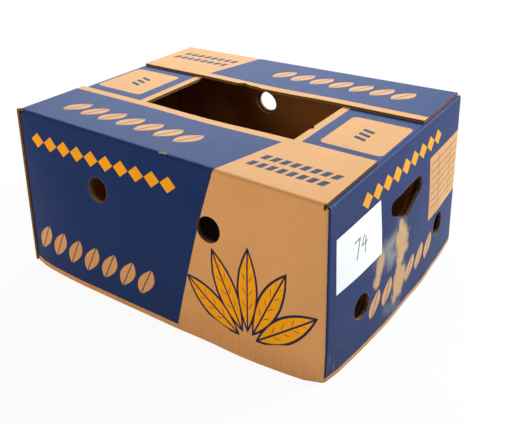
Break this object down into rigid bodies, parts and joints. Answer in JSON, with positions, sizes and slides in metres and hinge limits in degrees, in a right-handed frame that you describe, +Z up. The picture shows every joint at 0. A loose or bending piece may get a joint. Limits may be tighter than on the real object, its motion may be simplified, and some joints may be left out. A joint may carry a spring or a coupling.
{
  "type": "banana box",
  "caption": "Telescopic corrugated fruit carton: a printed lid with a rectangular top opening, vents and hand holes, slipped over a plain base, with a paper label on one end.",
  "frame": {"origin": "on the floor, under the middle of the carton", "axes": "X along the long front, Y from the front to the rear, Z up"},
  "size_m": [0.536, 0.424, 0.246],
  "materials": {
    "kraft_board": "plain brown kraft liner with open fluted edges",
    "printed_board": "kraft liner printed matt blue and yellow, kraft left bare along the cut edges, scuffed",
    "label_paper": "matt white paper with a number written by hand"
  },
  "bodies": {
    "base": {"base": "kraft_board"},
    "lid": {"lid": "printed_board", "paper_label": "label_paper"}
  },
  "joints": [
    {"name": "lid_lift", "type": "slide", "parent": "base", "child": "lid", "axis": [0, 0, 1], "range_m": [0, 0.26]}
  ]
}
